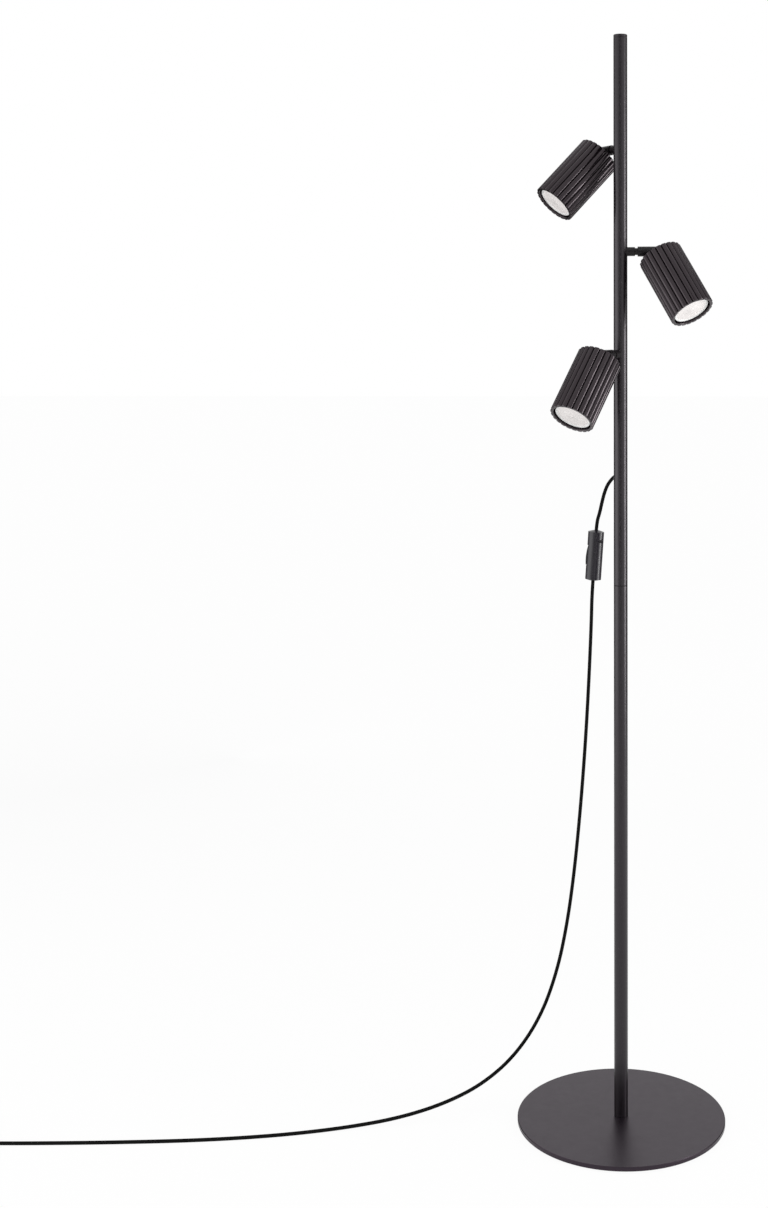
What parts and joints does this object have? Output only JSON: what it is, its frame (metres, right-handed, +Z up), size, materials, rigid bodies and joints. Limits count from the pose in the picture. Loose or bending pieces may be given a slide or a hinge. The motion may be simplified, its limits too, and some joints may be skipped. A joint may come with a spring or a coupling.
{
  "type": "tree floor lamp",
  "caption": "Floor lamp with a round base, a slim pole and ribbed spot heads that swivel and tilt on short arms, with a switch in its cord.",
  "frame": {"origin": "on the floor under the pole's axis, at the middle of the base", "axes": "+Z up along the pole, +X to the right seen from the front, where the middle arm points, +Y away from the viewer"},
  "size_m": [1.1119, 0.287, 1.5],
  "materials": {
    "base_coat": "fine-textured black powder coat on steel plate",
    "pole_coat": "fine-textured black powder coat on steel tube",
    "arm_coat": "black powder coat on turned steel",
    "head_coat": "satin black powder coat on die-cast aluminium",
    "pad_rubber": "soft black rubber",
    "zinc_steel": "zinc-plated",
    "turned_steel": "turned",
    "screw_steel": "blackened steel",
    "relief_rubber": "moulded black rubber",
    "wire_sleeve": "insulated conductor",
    "splice_nylon": "white nylon crimp sleeve",
    "holder_ceramic": "glazed ceramic",
    "lamp_white": "white lamp housing",
    "lens_opal": "opal diffuser",
    "cord_jacket": "smooth black jacket",
    "switch_plastic": "satin black plastic",
    "rocker_plastic": "black plastic",
    "contact_brass": "bare brass",
    "tie_plastic": "black hook-and-loop strap",
    "plug_plastic": "moulded black plastic",
    "pin_nickel": "nickel-plated brass"
  },
  "bodies": {
    "stand": {"base_plate": "base_coat", "base_pads": "pad_rubber", "base_bolt": "zinc_steel", "foot_insert": "turned_steel", "lower_tube": "pole_coat", "joint_socket": "turned_steel", "joint_nipple": "turned_steel", "upper_tube": "pole_coat", "pole_cap": "pole_coat", "pole_inserts": "turned_steel", "strain_relief": "relief_rubber", "supply_wires": "wire_sleeve", "wire_splices": "splice_nylon", "arm_stub_top": "arm_coat", "arm_stub_middle": "arm_coat", "arm_stub_bottom": "arm_coat", "cord_upper": "cord_jacket", "switch_front_shell": "switch_plastic", "switch_back_shell": "switch_plastic", "switch_screws": "screw_steel", "switch_contacts": "contact_brass", "cord_lower": "cord_jacket", "cord_coil": "cord_jacket", "coil_tie": "tie_plastic", "cord_tail": "cord_jacket", "plug_body": "plug_plastic", "plug_pins": "pin_nickel"},
    "arm_top": {"swivel_arm_top": "arm_coat", "grub_screw_top": "screw_steel", "pivot_screw_top": "screw_steel"},
    "head_top": {"rear_cap_top": "head_coat", "head_shell_top": "head_coat", "head_screws_top": "screw_steel", "holder_bracket_top": "turned_steel", "lamp_holder_top": "holder_ceramic", "lamp_body_top": "lamp_white", "lamp_lens_top": "lens_opal"},
    "arm_middle": {"swivel_arm_middle": "arm_coat", "grub_screw_middle": "screw_steel", "pivot_screw_middle": "screw_steel"},
    "head_middle": {"rear_cap_middle": "head_coat", "head_shell_middle": "head_coat", "head_screws_middle": "screw_steel", "holder_bracket_middle": "turned_steel", "lamp_holder_middle": "holder_ceramic", "lamp_body_middle": "lamp_white", "lamp_lens_middle": "lens_opal"},
    "arm_bottom": {"swivel_arm_bottom": "arm_coat", "grub_screw_bottom": "screw_steel", "pivot_screw_bottom": "screw_steel"},
    "head_bottom": {"rear_cap_bottom": "head_coat", "head_shell_bottom": "head_coat", "head_screws_bottom": "screw_steel", "holder_bracket_bottom": "turned_steel", "lamp_holder_bottom": "holder_ceramic", "lamp_body_bottom": "lamp_white", "lamp_lens_bottom": "lens_opal"},
    "rocker": {"switch_rocker": "rocker_plastic"}
  },
  "joints": [
    {"name": "swivel_top", "type": "hinge", "parent": "stand", "child": "arm_top", "pos_m": [-0.01175, 0.02035, 1.344], "axis": [-0.5, 0.866, 0], "range_deg": [-214.7, 125.3]},
    {"name": "tilt_top", "type": "hinge", "parent": "arm_top", "child": "head_top", "pos_m": [-0.0255, 0.04417, 1.344], "axis": [-0.6156, -0.3554, 0.7034], "range_deg": [-178.1, 1.9]},
    {"name": "swivel_middle", "type": "hinge", "parent": "stand", "child": "arm_middle", "pos_m": [0.0235, 0, 1.203], "axis": [1, 0, 0], "range_deg": [-141.2, 198.8]},
    {"name": "tilt_middle", "type": "hinge", "parent": "arm_middle", "child": "head_middle", "pos_m": [0.051, 0, 1.203], "axis": [0, 0.8763, -0.4818], "range_deg": [-154.4, 25.6]},
    {"name": "swivel_bottom", "type": "hinge", "parent": "stand", "child": "arm_bottom", "pos_m": [-0.01175, -0.02035, 1.062], "axis": [-0.5, -0.866, 0], "range_deg": [-164.8, 175.2]},
    {"name": "tilt_bottom", "type": "hinge", "parent": "arm_bottom", "child": "head_bottom", "pos_m": [-0.0255, -0.04417, 1.062], "axis": [0.8625, -0.4979, -0.0906], "range_deg": [-142, 38]},
    {"name": "rocker_tip", "type": "hinge", "parent": "stand", "child": "rocker", "pos_m": [-0.04274, 0.0557, 0.77719], "axis": [0, 1, -0.0085], "range_deg": [-8, 0]}
  ]
}
